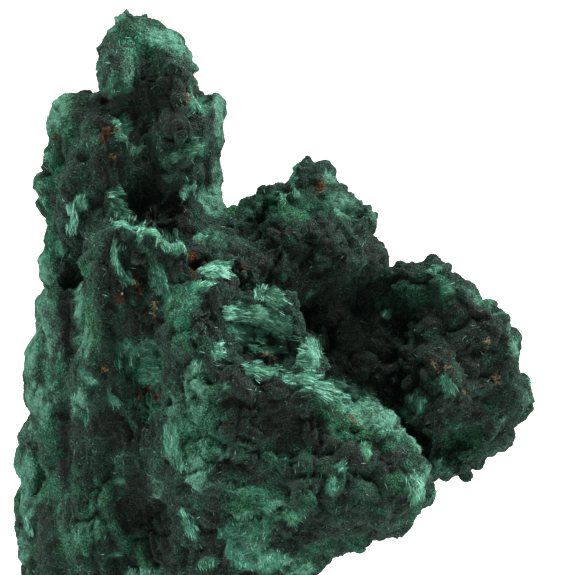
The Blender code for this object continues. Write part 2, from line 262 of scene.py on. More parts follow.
# Pale velvet, and partly painted light on sides that face the lamps, such as the peak's right side,
# the left flank and the finger's upper right edge
PALE_AND_LIT_PLACES = (
    (168, 43, 32, 15, -25, 0.62),
    (150, 27, 18, 9, -20, 0.45),
    (184, 60, 18, 12, 0, 0.62),
    (196, 72, 7, 12, 0, 0.6),
    (131, 62, 9, 26, 0, 0.55),
    (112, 74, 10, 30, 0, 0.45),
    (92, 98, 10, 10, 0, 0.2),
    (219, 112, 8, 30, 0, 1.0),
    (217, 190, 9, 28, 0, 1.0),
    (206, 203, 9, 13, 0, 1.0),
    (42, 195, 5, 22, 0, 0.45),
    (45, 272, 10, 18, 0, 0.9),
    (44, 312, 11, 22, -12, 1.0),
    (52, 335, 12, 30, 0, 0.8),
    (32, 362, 8, 20, 0, 0.9),
    (36, 396, 11, 18, 0, 0.9),
    (50, 400, 14, 20, 0, 0.6),
    (28, 440, 11, 30, 0, 0.6),
    (26, 490, 10, 40, 0, 0.8),
    (22, 550, 10, 30, 0, 0.6),
    (63, 352, 5, 12, 10, 0.8),
    (82, 308, 5, 32, 0, 0.9),
    (89, 345, 8, 28, 5, 0.8),
    (80, 402, 16, 16, 0, 0.7),
    (120, 388, 12, 9, 0, 0.5),
    (60, 330, 10, 14, 0, 0.7),
    (174, 440, 8, 22, 10, 0.9),
    (200, 470, 17, 20, 0, 0.8),
    (195, 395, 20, 38, 0, 0.55),
    (175, 405, 10, 14, 0, 0.7),
    (350, 391, 30, 9, -22, 1.0),
    (376, 413, 38, 14, -22, 1.0),
    (410, 436, 18, 20, -50, 1.0),
    (422, 478, 9, 17, 0, 1.0),
    (308, 352, 14, 24, 0, 1.0),
    (310, 382, 26, 9, -15, 1.0),
    (218, 269, 20, 8, -5, 1.0),
    (188, 302, 12, 32, 0, 0.3),
    (345, 202, 15, 14, -40, 1.0),
    (330, 178, 11, 10, -45, 0.8),
    (374, 215, 7, 16, 0, 0.6),
    (249, 213, 18, 9, 32, 0.8),
    (290, 190, 24, 11, 12, 0.5),
    (203, 235, 18, 9, 0, 0.7),
    (430, 266, 13, 9, 0, 0.6),
    (474, 297, 26, 9, -32, 0.6),
    (517, 347, 11, 15, 0, 1.0),
    (508, 330, 10, 10, 0, 0.6),
    (505, 430, 14, 22, 20, 0.5),
    (528, 396, 8, 14, 0, 0.6),
    (445, 470, 10, 12, 0, 0.5),
    (340, 552, 26, 9, 22, 0.4),
    (235, 485, 24, 16, -10, 0.35),
    (275, 500, 22, 8, -35, 0.5),
    (225, 450, 8, 10, 0, 0.6),
    (100, 515, 16, 22, 0, 0.4),
    (70, 515, 30, 22, 0, 0.35),
)
GREEN_PLACES = (
    (70, 112, 22, 28, 0, 0.8),
    (123, 82, 22, 28, 0, 0.5),
    (198, 148, 20, 16, 0, 0.9),
    (150, 45, 50, 30, 0, 0.6),
    (50, 200, 14, 70, 0, 0.8),
    (44, 330, 22, 70, 4, 0.9),
    (40, 470, 30, 90, 3, 0.8),
    (90, 330, 14, 70, 2, 0.7),
    (150, 360, 24, 22, 0, 0.9),
    (150, 410, 18, 22, 0, 0.8),
    (215, 240, 25, 16, 0, 0.7),
    (186, 310, 16, 44, 0, 0.9),
    (195, 430, 30, 70, 0, 0.8),
    (250, 500, 40, 34, 0, 0.7),
    (310, 480, 60, 50, 0, 0.35),
    (360, 420, 60, 30, -25, 0.8),
    (410, 470, 26, 40, 0, 0.7),
    (110, 510, 30, 30, 0, 0.6),
    (60, 520, 50, 50, 0, 0.6),
    (300, 200, 60, 22, 0, 0.6),
    (275, 225, 20, 16, 0, 0.5),
    (430, 285, 34, 26, 0, 0.5),
    (480, 420, 40, 50, 0, 0.35),
    (380, 290, 14, 26, 0, 0.6),
    (130, 545, 30, 26, 0, 0.6),
    (335, 545, 60, 20, 15, 0.6),
)
# Near black velvet, and painted shade where some of these lie in the deep cleft, the hollow behind
# the rim and on fronts turned from the lamps
DARK_AND_SHADED_PLACES = (
    (178, 105, 38, 34, 0, 0.85),
    (165, 208, 32, 26, 0, 1.0),
    (160, 165, 26, 24, 0, 0.6),
    (128, 112, 16, 24, 0, 0.8),
    (115, 165, 22, 20, 0, 0.7),
    (75, 175, 16, 24, 0, 0.5),
    (95, 205, 12, 8, 0, 1.0),
    (66, 215, 8, 30, 0, 0.6),
    (112, 265, 10, 26, 0, 0.7),
    (140, 262, 12, 18, 0, 1.0),
    (140, 320, 22, 18, 0, 0.9),
    (210, 312, 12, 24, 0, 1.0),
    (240, 285, 20, 8, 0, 0.8),
    (272, 341, 20, 5, -6, 1.0),
    (258, 356, 22, 6, 0, 0.8),
    (228, 368, 18, 12, 0, 0.9),
    (280, 415, 46, 30, -10, 1.0),
    (345, 462, 34, 24, 0, 0.4),
    (240, 440, 26, 30, 0, 0.5),
    (400, 505, 18, 18, 0, 0.5),
    (465, 375, 46, 56, 0, 0.6),
    (305, 485, 24, 16, 0, 0.3),
    (392, 455, 14, 16, 0, 0.8),
    (330, 528, 36, 12, 0, 0.8),
    (218, 535, 18, 28, 0, 0.9),
    (150, 500, 30, 36, 0, 0.9),
    (125, 430, 28, 24, 30, 0.8),
    (75, 440, 12, 26, 0, 0.7),
    (55, 462, 22, 14, 0, 0.6),
    (165, 545, 22, 24, 0, 0.8),
    (70, 300, 7, 34, 0, 0.9),
    (36, 333, 5, 9, 0, 0.8),
    (280, 260, 40, 20, 0, 1.0),
    (300, 250, 60, 36, 0, 0.6),
    (375, 250, 16, 26, 0, 0.7),
    (355, 340, 46, 70, 0, 1.0),
    (405, 270, 16, 14, 0, 0.9),
    (460, 320, 44, 20, 0, 0.8),
    (460, 420, 34, 34, 0, 0.8),
    (400, 370, 40, 50, 0, 0.8),
    (500, 355, 26, 26, 0, 0.6),
    (255, 235, 14, 14, 0, 0.8),
    (375, 535, 24, 8, 20, 0.7),
    (120, 285, 20, 12, 0, 0.6),
    (60, 98, 16, 16, 0, 0.5),
    (66, 124, 20, 16, 0, 0.4),
    (40, 186, 8, 20, 0, 0.6),
    (300, 530, 30, 14, 0, 0.5),
)
# Crumbs: column, row, size in mm, kind
CRUMBS = (
    (109, 138, 1.3, "rust"),
    (111, 134, 0.9, "rust"),
    (118, 158, 0.9, "ochre"),
    (114, 159, 0.6, "ochre"),
    (107, 131, 0.6, "rust"),
    (120, 132, 0.7, "rust"),
    (57, 140, 0.6, "rust"),
    (136, 276, 1.0, "rust"),
    (138, 284, 1.0, "rust"),
    (141, 291, 0.8, "rust"),
    (194, 258, 1.0, "rust"),
    (198, 266, 1.2, "rust"),
    (195, 272, 0.7, "rust"),
    (245, 268, 0.7, "rust"),
    (124, 299, 1.0, "rust"),
    (124, 291, 1.0, "pearl"),
    (436, 366, 1.0, "tan"),
    (446, 367, 0.9, "tan"),
    (432, 362, 0.6, "tan"),
    (494, 376, 1.0, "tan"),
    (497, 382, 0.7, "tan"),
    (485, 341, 0.9, "tan"),
    (266, 353, 1.0, "tan"),
    (273, 356, 0.8, "ochre"),
    (188, 100, 1.2, "tan"),
    (157, 304, 0.7, "tan"),
    (157, 309, 0.7, "tan"),
    (157, 314, 0.7, "tan"),
    (108, 368, 0.7, "ochre"),
    (320, 188, 1.1, "rust"),
    (350, 414, 0.6, "ochre"),
    (354, 420, 0.5, "ochre"),
    (150, 386, 0.9, "rust"),
    (158, 394, 0.8, "rust"),
    (142, 394, 0.7, "rust"),
    (463, 392, 0.6, "tan"),
)
CRUMB_COLOURS = {
    "rust": (0.065, 0.026, 0.011),
    "ochre": (0.17, 0.105, 0.035),
    "tan": (0.19, 0.14, 0.085),
    "pearl": (0.62, 0.52, 0.5),
}
STRAY_CRUMBS = 60

# What the skin's attributes tell its materials, and those of them that colour the growth
SKIN_MASKS = ("broken", "pale", "green", "dark", "rust", "top", "crease", "open", "foot")
GROWTH_INPUTS = ("Broken", "Pale", "Green", "Dark", "Rust", "Top", "Crease", "Open")

# The velvet's fine hairs, the longer silky blades of the broken places, and single needles
VELVET_PIECES = 2
VELVET_HAIRS = 76000
HAIR_LENGTH = (0.09 * MM, 0.28 * MM)
HAIR_RADIUS = (0.022 * MM, 0.048 * MM)
HAIR_ROOT = 0.08 * MM
SHEAF_BLADES = 21000
BLADE_LENGTH = (0.4 * MM, 1.2 * MM)
BLADE_RADIUS = (0.018 * MM, 0.046 * MM)
NEEDLES = 3200
NEEDLE_LENGTH = (0.2 * MM, 0.75 * MM)
NEEDLE_RADIUS = (0.012 * MM, 0.026 * MM)

# The colours of the velvet, the painted shade of its crevices and the painted lift of its deep
# hollows' shade, of the silky fibres and of the foot's bands
NEAR_BLACK = (0.0132, 0.0112, 0.011, 1.0)
DARK_VELVET = (0.0145, 0.03, 0.0215, 1.0)
GREEN_VELVET = (0.014, 0.085, 0.046, 1.0)
WARM_GREEN = (0.02, 0.08, 0.034, 1.0)
# partly the velvet's own pale green, partly painted light where the lamps catch it
PALE_AND_LIT_VELVET = (0.092, 0.245, 0.168, 1.0)
# painted light: a flat dark grey that lifts the shade deep in the hollows, standing in for stray
# light
HOLLOW_STRAY_LIGHT_GREY = (0.036, 0.034, 0.031, 1.0)
# painted shade for crevices and the lumps' low sides
PAINTED_CREASE_SHADE = (0.0205, 0.0195, 0.0185, 1.0)
# light grey-green hairs at random, only where the skin is open to the room: partly their own tone,
# partly painted light
PALE_HAIR_PAINTED_LIT = (0.11, 0.2, 0.155, 1.0)
SILK_SHADE = (0.006, 0.05, 0.028, 1.0)
SILK_LIGHT = (0.085, 0.38, 0.245, 1.0)
SILK_WARM = (0.1, 0.37, 0.2, 1.0)
SILK_BRIGHT = (0.3, 0.68, 0.52, 1.0)
# painted glints
PAINTED_GLINT = (0.2, 0.3, 0.26, 1.0)
RUST_STAIN = (0.085, 0.028, 0.009, 1.0)
FOOT_DARK = (0.012, 0.11, 0.06, 1.0)
FOOT_LIGHT = (0.05, 0.34, 0.2, 1.0)

# Lamps: name, place, size and watts. All of them point at the middle of the specimen
LAMPS = (
    ("right", (0.42, 0.12, 0.34), 0.22, 5.2),
    ("left", (-0.42, -0.02, 0.3), 0.26, 3.1),
    ("top", (0.08, -0.02, 0.6), 0.28, 6.0),
)
LAMPS_AIM = (0, 0, 0.035)
ROOM_LIGHT = 0.29


# Places on the picture


def picture_point(column, row):
    """The point on the picture plane, through the row frame's origin, behind a pixel."""
    across = (column - MIDDLE_COLUMN) * PIXEL
    up = top_height - (row - TOP_ROW) * PIXEL
    return Vector((across, 0, 0)) + UP_THE_PICTURE * up


def seen_at(tree, column, row):
    """The place, normal and face of the skin that the camera sees behind a pixel, or None."""
    place, normal, face, _ = tree.ray_cast(picture_point(column, row) - LOOK * 0.2, LOOK)
    return (place, normal, face) if place is not None else None


def falloff(points, centre, half_width, half_height, turn, strength):
    """Numpy weights of points near an elliptical place that is turned in the picture plane."""
    away = points - np.array(centre)
    across = away[:, 0]
    up = away @ np.array(UP_THE_PICTURE)
    deep = away @ np.array(LOOK)
    c, s = math.cos(math.radians(turn)), math.sin(math.radians(turn))
    along = (across * c + up * s) / (half_width * PIXEL)
    aside = (up * c - across * s) / (half_height * PIXEL)
    depth = deep / (max(half_width, half_height) * PIXEL * 1.3)
    far = np.sqrt(along**2 + aside**2 + depth**2)
    return strength * np.clip(1.6 - far * 1.1, 0, 1)


def smooth_step(low, high, values):
    share = np.clip((values - low) / (high - low), 0, 1)
    return share * share * (3 - 2 * share)


# Meshes and arrays


def linked(name, mesh):
    made = bpy.data.objects.new(name, mesh)
    bpy.context.scene.collection.objects.link(made)
    return made


def coordinates(mesh):
    flat = np.empty(len(mesh.vertices) * 3, np.float32)
    mesh.vertices.foreach_get("co", flat)
    return flat.reshape(-1, 3).astype(float)


def vertex_normals(mesh):
    flat = np.empty(len(mesh.vertices) * 3, np.float32)
    mesh.vertex_normals.foreach_get("vector", flat)
    return flat.reshape(-1, 3).astype(float)


def set_attribute(mesh, name, values):
    layer = mesh.attributes.new(name, "FLOAT", "POINT")
    layer.data.foreach_set("value", np.asarray(values, np.float32))


def set_vectors(mesh, name, values):
    layer = mesh.attributes.new(name, "FLOAT_VECTOR", "POINT")
    layer.data.foreach_set("vector", np.asarray(values, np.float32).ravel())


def attribute_values(mesh, name):
    flat = np.empty(len(mesh.vertices), np.float32)
    mesh.attributes[name].data.foreach_get("value", flat)
    return flat


def attribute_vectors(mesh, name):
    flat = np.empty(len(mesh.vertices) * 3, np.float32)
    mesh.attributes[name].data.foreach_get("vector", flat)
    return flat.reshape(-1, 3).astype(float)


def apply_modifiers(thing):
    graph = bpy.context.evaluated_depsgraph_get()
    finished = bpy.data.meshes.new_from_object(thing.evaluated_get(graph))
    thing.modifiers.clear()
    thing.data = finished


def merged_copy(node, name):
    """A copy of a CAD node's mesh with its loose triangles joined."""
    bm = bmesh.new()
    bm.from_mesh(node.data)
    bmesh.ops.remove_doubles(bm, verts=bm.verts, dist=0.000001)
    mesh = bpy.data.meshes.new(name)
    bm.to_mesh(mesh)
    bm.free()
    return linked(name, mesh)


def noise_vectors(points, scale):
    return np.array([noise.noise_vector(Vector(p) / scale) for p in points])


def noise_at(points, scale, octaves=3, seed=0.0):
    shift = Vector((seed * 7.3, seed * 3.1, seed * 5.7))
    return np.array(
        [noise.fractal(Vector(p) / scale + shift, 0.9, 2.1, octaves) for p in points]
    )


# The crust


def softened(thing, name, rounds, group=""):
    """Adds an even smoothing, of a vertex group alone where one is named, and applies it."""
    smooth = thing.modifiers.new(name, "SMOOTH")
    smooth.factor = 0.5
    smooth.iterations = rounds
    smooth.vertex_group = group
    apply_modifiers(thing)


def rounded_mass(node):
    """The solid's shape with its facets rounded off, fine enough to carry the lumps."""
    mass = merged_copy(node, "mass")
    fuse = mass.modifiers.new("Even skin", "REMESH")
    fuse.mode = "VOXEL"
    fuse.voxel_size = SKIN_VOXEL
    softened(mass, "Round off", FACETS_ROUNDED)
    flank = mass.vertex_groups.new(name="Flank")
    weights = smooth_step(*FLANK_FROM, coordinates(mass.data)[:, 0])
    for index in np.flatnonzero(weights > 0.01).tolist():
        flank.add([index], float(weights[index]), "REPLACE")
    softened(mass, "Even flank", FLANK_ROUNDED, "Flank")
    return mass


def tree_of(mesh):
    return BVHTree.FromPolygons(
        [v.co for v in mesh.vertices], [tuple(face.vertices) for face in mesh.polygons]
    )


def warped(points):
    """Where the lumps are laid out: bent a little, and with the ribbed side squeezed in height."""
    bent = points + noise_vectors(points, 2.1 * MM) * 0.7 * MM
    bent += noise_vectors(points, 0.8 * MM) * 0.34 * MM
    share = smooth_step(RIBS_END + 3 * MM, RIBS_END - 3 * MM, points[:, 0])
    bent[:, 2] /= 1 + (RIB_STRETCH - 1) * share
    return bent


def spaced_seeds(points, spacing, seed):
    """A seeded choice of the points, none closer to another than the spacing."""
    rng = random.Random(seed)
    order = list(range(len(points)))
    rng.shuffle(order)
    taken = {}
    chosen = []
    cells = np.floor(points / spacing).astype(int).tolist()
    around = [(a, b, c) for a in (-1, 0, 1) for b in (-1, 0, 1) for c in (-1, 0, 1)]
    places = points.tolist()
    for i in order:
        x, y, z = places[i]
        u, v, w = cells[i]
        limit = (spacing * rng.uniform(0.7, 1.1)) ** 2
        free = True
        for a, b, c in around:
            for p, q, r in taken.get((u + a, v + b, w + c), ()):
                if (p - x) ** 2 + (q - y) ** 2 + (r - z) ** 2 < limit:
                    free = False
                    break
            if not free:
                break
        if free:
            taken.setdefault((u, v, w), []).append((x, y, z))
            chosen.append((x, y, z))
    return chosen


def cobbles(points, spacing, seed):
    """Rounded lumps with sharp crevices between them.

    Gives each point's height, from 0 in a crevice to 1, how far its lump leans out there, and
    its lump's own tone, from 0 to 1.
    """
    seeds = spaced_seeds(points, spacing, seed)
    rng = np.random.default_rng(seed)
    sizes = rng.uniform(0.7, 1.35, len(seeds)).tolist()
    tones = rng.random(len(seeds))
    leans = rng.normal(0, 1, (len(seeds), 3))
    tree = KDTree(len(seeds))
    for i, place in enumerate(seeds):
        tree.insert(place, i)
    tree.balance()
    nearest = np.empty(len(points), int)
    ratio = np.empty(len(points))
    for k, p in enumerate(points.tolist()):
        found = sorted((away / sizes[i], i) for _, i, away in tree.find_n(p, 4))
        (first, i), (second, _) = found[:2]
        nearest[k] = i
        ratio[k] = first / second
    heights = (1 - ratio**2.1) ** 0.55
    out = ((points - np.array(seeds)[nearest]) * leans[nearest]).sum(axis=1) * heights
    return heights, np.clip(out, -spacing, spacing), tones[nearest]


def openness(mesh, tree, rays, reach):
    """For each vertex, how far it sees out over its own half of the directions, from 0 to 1."""
    rng = random.Random(5)
    directions = []
    while len(directions) < rays:
        v = Vector([rng.uniform(-1, 1) for _ in range(3)])
        if 0.1 < v.length < 1:
            directions.append(v.normalized())
    found = np.empty(len(mesh.vertices))
    for index, vert in enumerate(mesh.vertices):
        normal = mesh.vertex_normals[index].vector
        start = vert.co + normal * 0.06 * MM
        free = 0.0
        for d in directions:
            away = tree.ray_cast(start, d + normal * 1.05, reach)[3]
            free += 1.0 if away is None else 0.6 * away / reach
        found[index] = free / rays
    return found


def back_places(mesh):
    """Seeded places of each kind for the sides that the photograph doesn't show."""
    rng = random.Random(77)
    faces = [f for f in mesh.polygons if f.normal.dot(LOOK) > -0.1 and f.center.z > 3 * MM]
    places = []
    for face in rng.sample(faces, BACK_PLACES):
        kind = rng.choices(("broken", "green", "dark", "pale"), weights=(0.34, 0.2, 0.2, 0.26))[0]
        size = rng.uniform(7, 20) if kind == "broken" else rng.uniform(16, 50)
        shape = (size, size * rng.uniform(0.35, 0.9), rng.uniform(0, 180), rng.uniform(0.6, 1.0))
        fan = (rng.uniform(0, 180), rng.uniform(5, 50))
        places.append((kind, face.center.copy(), shape, fan))
    return places


def places_found(mesh):
    """All places with their points on the skin: kind, centre, shape, run and fan."""
    tree = tree_of(mesh)
    tables = {
        "broken": BROKEN_PLACES,
        "pale": PALE_AND_LIT_PLACES,
        "green": GREEN_PLACES,
        "dark": DARK_AND_SHADED_PLACES,
        "smooth": SMOOTH_PLACES,
    }
    found = []
    for kind, table in tables.items():
        for column, row, *rest in table:
            hit = seen_at(tree, column, row)
            if hit:
                found.append((kind, hit[0], tuple(rest[:4]), tuple(rest[4:])))
    for column, row, size, kind in CRUMBS:
        hit = seen_at(tree, column, row)
        if hit and kind == "rust":
            found.append((kind, hit[0], (size * 6, size * 4.5, 60, 0.9), ()))
    return found + back_places(mesh)


def growth_masks(points, places):
    """How strongly each kind of growth shows at each point, before lumps and grain break it up."""
    kinds = ("broken", "pale", "green", "dark", "smooth", "rust")
    masks = {kind: np.zeros(len(points)) for kind in kinds}
    for kind, centre, shape, _ in places:
        masks[kind] = np.maximum(masks[kind], falloff(points, centre, *shape))
    return masks


def fibre_directions(points, normals, places):
    """The direction in which the silky fibres would run at each point, along the skin."""
    broken = [(centre, shape, fan) for kind, centre, shape, fan in places if kind == "broken"]
    centres = np.array([list(centre) for centre, _, _ in broken])
    nearest = np.empty(len(points), int)
    for first in range(0, len(points), 20000):
        part = points[first : first + 20000]
        apart = np.linalg.norm(part[:, None] - centres[None], axis=2)
        nearest[first : first + 20000] = apart.argmin(axis=1)
    runs = np.radians([fan[0] for _, _, fan in broken])[nearest]
    fans = np.radians([fan[1] for _, _, fan in broken])[nearest]
    sizes = np.array([max(shape[:2]) for _, shape, _ in broken])[nearest] * PIXEL
    away = points - centres[nearest]
    across = away[:, 0]
    up = away @ np.array(UP_THE_PICTURE)
    aside = (up * np.cos(runs) - across * np.sin(runs)) / sizes
    angle = runs + fans * np.clip(aside, -1.2, 1.2)
    along = np.outer(np.cos(angle), (1, 0, 0)) + np.outer(np.sin(angle), UP_THE_PICTURE)
    along -= normals * (along * normals).sum(axis=1, keepdims=True)
    return along / np.maximum(np.linalg.norm(along, axis=1, keepdims=True), 1e-6)


def lumps_grown(points, broken, calm):
    """How far each point moves out, how high it stands on its lumps, and its lumps' tone."""
    layout = warped(points)
    depth = np.full(len(points), SKIN_RAISED)
    top = np.zeros(len(points))
    tone = np.zeros(len(points))
    for level, growth_values in enumerate(CRUST_GROWTHS):
        spacing, deep, lean, seed, lost, top_share, tone_share = growth_values
        heights, out, tones = cobbles(layout, spacing, seed)
        share = calm * (1 - lost * broken)
        uneven = np.clip(0.8 + 1.3 * noise_at(points, 2.4 * MM, 2, 9 + level), 0.2, 1.4)
        depth += share * uneven * (deep * (heights - 1) + lean * out)
        top += top_share * heights
        tone += tone_share * tones
    return depth, top, tone


def fine_relief(points, runs, broken):
    """Streaks and a step down in the broken places, and a slight unevenness all over."""
    streaks = points - runs * (points * runs).sum(axis=1, keepdims=True) * 0.85
    relief = broken * (noise_at(streaks, 0.5 * MM, 2, 4) * 0.12 * MM - 0.25 * MM)
    uneven = noise_at(points, 1.5 * MM, 3, 8) * 0.25 + noise_at(points, 0.5 * MM, 2, 6) * 0.07
    return relief, uneven * MM


def moved_out(crust, points, normals, depth):
    """Moves the skin out by these depths, with its foot kept flat, and rounds the lumps."""
    foot = smooth_step(0.2 * MM, 1.4 * MM, points[:, 2])
    shifted = points + normals * (depth * foot)[:, None]
    shifted[:, 2] = np.maximum(shifted[:, 2], np.minimum(points[:, 2], 0.3 * MM))
    shifted[:, 2] = np.maximum(shifted[:, 2], 0)
    crust.data.vertices.foreach_set("co", shifted.astype(np.float32).ravel())
    softened(crust, "Round lumps", LUMPS_ROUNDED)
    crust.data.shade_smooth()


def set_skin_masks(mesh, tree, points, masks, broken, top, tone):
    """Sets all that the materials read on the skin, apart from the fibres' direction."""
    patchy = noise_at(points, 3.0 * MM, 4, 2) + 0.6 * noise_at(points, 1.1 * MM, 3, 17)
    pale = masks["pale"] + 0.22 * (tone - 0.5) + 0.4 * patchy
    green = masks["green"] + 0.4 * (tone - 0.45) + 0.55 * patchy
    dark = masks["dark"] - 0.3 * (tone - 0.5) - 0.55 * patchy
    rust = masks["rust"] + 0.55 * noise_at(points, 0.8 * MM, 3, 12)
    layers = {
        "broken": broken,
        "pale": smooth_step(0.25, 0.95, pale),
        "green": smooth_step(0.2, 1.0, green),
        "dark": smooth_step(0.15, 0.7, dark),
        "rust": smooth_step(0.35, 0.75, rust),
        "top": top,
        "open": openness(mesh, tree, 18, OPEN_REACH),
        "crease": smooth_step(0.95, 0.55, openness(mesh, tree, 12, CREASE_REACH)),
        "foot": smooth_step(0.6 * MM, 0.15 * MM, points[:, 2]),
    }
    for name, values in layers.items():
        set_attribute(mesh, name, values)


def grown_crust(node):
    """The whole crust, with its lumps grown and all that its materials read as attributes."""
    crust = rounded_mass(node)
    points = coordinates(crust.data)
    normals = vertex_normals(crust.data)
    places = places_found(crust.data)
    masks = growth_masks(points, places)
    runs = fibre_directions(points, normals, places)
    ragged = 0.3 * noise_at(points, 1.1 * MM, 3, 1) + 0.35 * noise_at(points, 0.45 * MM, 2, 19)
    broken = smooth_step(*BROKEN_EDGE, masks["broken"] + ragged)
    calm = 1 - CALM_WHERE_SMOOTH * np.clip(masks["smooth"], 0, 1)
    depth, top, tone = lumps_grown(points, broken, calm)
    relief, uneven = fine_relief(points, runs, broken)
    depth += relief
    depth += uneven
    moved_out(crust, points, normals, depth)
    tree = tree_of(crust.data)
    set_skin_masks(crust.data, tree, points, masks, broken, top, tone)
    set_vectors(crust.data, "run", runs)
    return crust, tree


def half_of(crust, chosen, name):
    """A piece of the crust with the chosen faces. Its shading goes on over the cut."""
    whole = crust.data
    quads = np.array([tuple(f.vertices) for f in whole.polygons])[chosen]
    used, corners = np.unique(quads, return_inverse=True)
    corners = corners.reshape(quads.shape)
    mesh = bpy.data.meshes.new(name)
    mesh.from_pydata(coordinates(whole)[used].tolist(), [], corners.tolist())
    for layer in SKIN_MASKS:
        set_attribute(mesh, layer, attribute_values(whole, layer)[used])
    set_vectors(mesh, "run", attribute_vectors(whole, "run")[used])
    mesh.shade_smooth()
    mesh.normals_split_custom_set_from_vertices(vertex_normals(whole)[used].tolist())
    return linked(name, mesh)


# Fibres


def fibre_mesh(name, roots, ways, widths, lengths, rings, sides=3):
    """Joined three-sided fibres. Each has a ring of corners at each share in rings, then a tip.

    With two sides the back of each is left out, which saves triangles where they are very fine.
    """
    count = len(roots)
    helper = np.where(np.abs(ways[:, 2:3]) < 0.9, [[0.0, 0.0, 1.0]], [[1.0, 0.0, 0.0]])
    side = np.cross(ways, helper)
    side /= np.linalg.norm(side, axis=1, keepdims=True)
    other = np.cross(ways, side)
    layers = []
    for share, width_share in rings:
        middle = roots + ways * (lengths * share)[:, None]
        for k in range(3):
            turn = 2 * math.pi * k / 3
            out = side * math.cos(turn) + other * math.sin(turn)
            layers.append(middle + out * (widths * width_share)[:, None])
    layers.append(roots + ways * lengths[:, None])
    verts = np.stack(layers, axis=1)
    each = verts.shape[1]
    faces = []
    for ring in range(len(rings) - 1):
        for k in range(3):
            a, b = ring * 3 + k, ring * 3 + (k + 1) % 3
            faces.append((a, b, b + 3))
            faces.append((a, b + 3, a + 3))
    last = (len(rings) - 1) * 3
    for k in range(sides):
        faces.append((last + k, last + (k + 1) % 3, each - 1))
    pattern = np.array(faces)
    every = pattern[None] + (np.arange(count) * each)[:, None, None]
    mesh = bpy.data.meshes.new(name)
    mesh.vertices.add(count * each)
    mesh.vertices.foreach_set("co", verts.astype(np.float32).ravel())
    corners = every.reshape(-1)
    mesh.loops.add(len(corners))
    mesh.loops.foreach_set("vertex_index", corners.astype(np.int32))
    mesh.polygons.add(len(corners) // 3)
    mesh.polygons.foreach_set("loop_start", np.arange(0, len(corners), 3, dtype=np.int32))
    mesh.update(calc_edges=True)
    shares = [share for share, _ in rings for _ in range(3)] + [1.0]
    set_attribute(mesh, "tip", np.tile(shares, count))
    return linked(name, mesh), each


def skin_samples(mesh, count, seed, weights=None):
    """Seeded places on the skin: positions, normals and the faces they lie on."""
    rng = np.random.default_rng(seed)
    total = len(mesh.polygons)
    areas = np.empty(total, np.float32)
    mesh.polygons.foreach_get("area", areas)
    chance = areas.astype(float) if weights is None else areas * weights
    picked = rng.choice(total, count, p=chance / chance.sum())
    quads = np.array(
        [(p.vertices[0], p.vertices[1], p.vertices[2], p.vertices[-1]) for p in mesh.polygons]
    )
    points = coordinates(mesh)
    normals = vertex_normals(mesh)
    share = rng.dirichlet((1, 1, 1, 1), count)[:, :, None]
    corners = quads[picked]
    places = (points[corners] * share).sum(axis=1)
    facing = (normals[corners] * share).sum(axis=1)
    facing /= np.linalg.norm(facing, axis=1, keepdims=True)
    return places, facing, corners


def carry_attributes(source, corners, target, each, names):
    """Gives every fibre the mean value that the skin has under it."""
    for name in names:
        values = attribute_values(source, name)[corners].mean(axis=1)
        set_attribute(target, name, np.repeat(values, each))


def velvet_piece(crust, number):
    """Fine hairs all over the crust that lean together in clumps, shaded as the skin there is."""
    mesh = crust.data
    rng = np.random.default_rng(400 + number)
    face_heights = np.array([f.center.z for f in mesh.polygons])
    broken = attribute_values(mesh, "broken")
    face_broken = np.array([broken[f.vertices[0]] for f in mesh.polygons])
    weights = smooth_step(0.3 * MM, 1.0 * MM, face_heights) * (1 - 0.85 * face_broken)
    roots, facing, corners = skin_samples(mesh, VELVET_HAIRS, 300 + number, weights)
    ways = facing + noise_vectors(roots, 0.6 * MM) * 1.1 + rng.normal(0, 0.3, roots.shape)
    ways /= np.linalg.norm(ways, axis=1, keepdims=True)
    lengths = rng.uniform(*HAIR_LENGTH, len(roots)) + HAIR_ROOT
    widths = rng.uniform(*HAIR_RADIUS, len(roots))
    start = roots - facing * HAIR_ROOT
    name = f"velvet_{number + 1}"
    piece, each = fibre_mesh(name, start, ways, widths, lengths, ((0.0, 1.0),), 2)
    made = piece.data
    carry_attributes(mesh, corners, made, each, SKIN_MASKS)
    set_vectors(made, "run", np.repeat(ways, each, axis=0))
    tones = 0.5 + 0.7 * noise_at(roots, 0.5 * MM, 2, 18) + rng.normal(0, 0.22, len(roots))
    set_attribute(made, "tone", np.repeat(np.clip(tones, 0, 1), each))
    return piece


def sheaves_piece(crust):
    """Long thin blades on the broken places, lying along each place's own direction."""
    mesh = crust.data
    rng = np.random.default_rng(500)
    broken = attribute_values(mesh, "broken")
    face_broken = np.array([broken[list(f.vertices)].mean() for f in mesh.polygons])
    roots, facing, corners = skin_samples(mesh, SHEAF_BLADES, 501, face_broken**2)
    along = attribute_vectors(mesh, "run")[corners].mean(axis=1)
    lift = 0.04 + 0.3 * rng.random((len(roots), 1)) ** 3
    ways = along + facing * lift + rng.normal(0, 0.07, roots.shape)
    ways /= np.linalg.norm(ways, axis=1, keepdims=True)
    lengths = rng.uniform(*BLADE_LENGTH, len(roots)) * (1.1 - 0.6 * lift[:, 0])
    widths = rng.uniform(*BLADE_RADIUS, len(roots))
    start = roots - facing * 0.03 * MM - ways * lengths[:, None] * 0.45
    piece, each = fibre_mesh("sheaves", start, ways, widths, lengths, ((0.0, 1.0), (0.75, 0.8)))
    carry_attributes(mesh, corners, piece.data, each, SKIN_MASKS)
    set_vectors(piece.data, "run", np.repeat(along, each, axis=0))
    tones = 0.5 + 0.6 * noise_at(roots, 0.35 * MM, 2, 20) + rng.normal(0, 0.25, len(roots))
    set_attribute(piece.data, "tone", np.repeat(np.clip(tones, 0, 1), each))
    return piece


def on_line(corners, share):
    """The pixel at a share of the way along a line of corners."""
    steps = [math.dist(a, b) for a, b in zip(corners, corners[1:])]
    left = share * sum(steps)
    for (a, b), step in zip(zip(corners, corners[1:]), steps):
        if left <= step:
            return [p + (q - p) * left / step for p, q in zip(a, b)]
        left -= step
    return list(corners[-1])


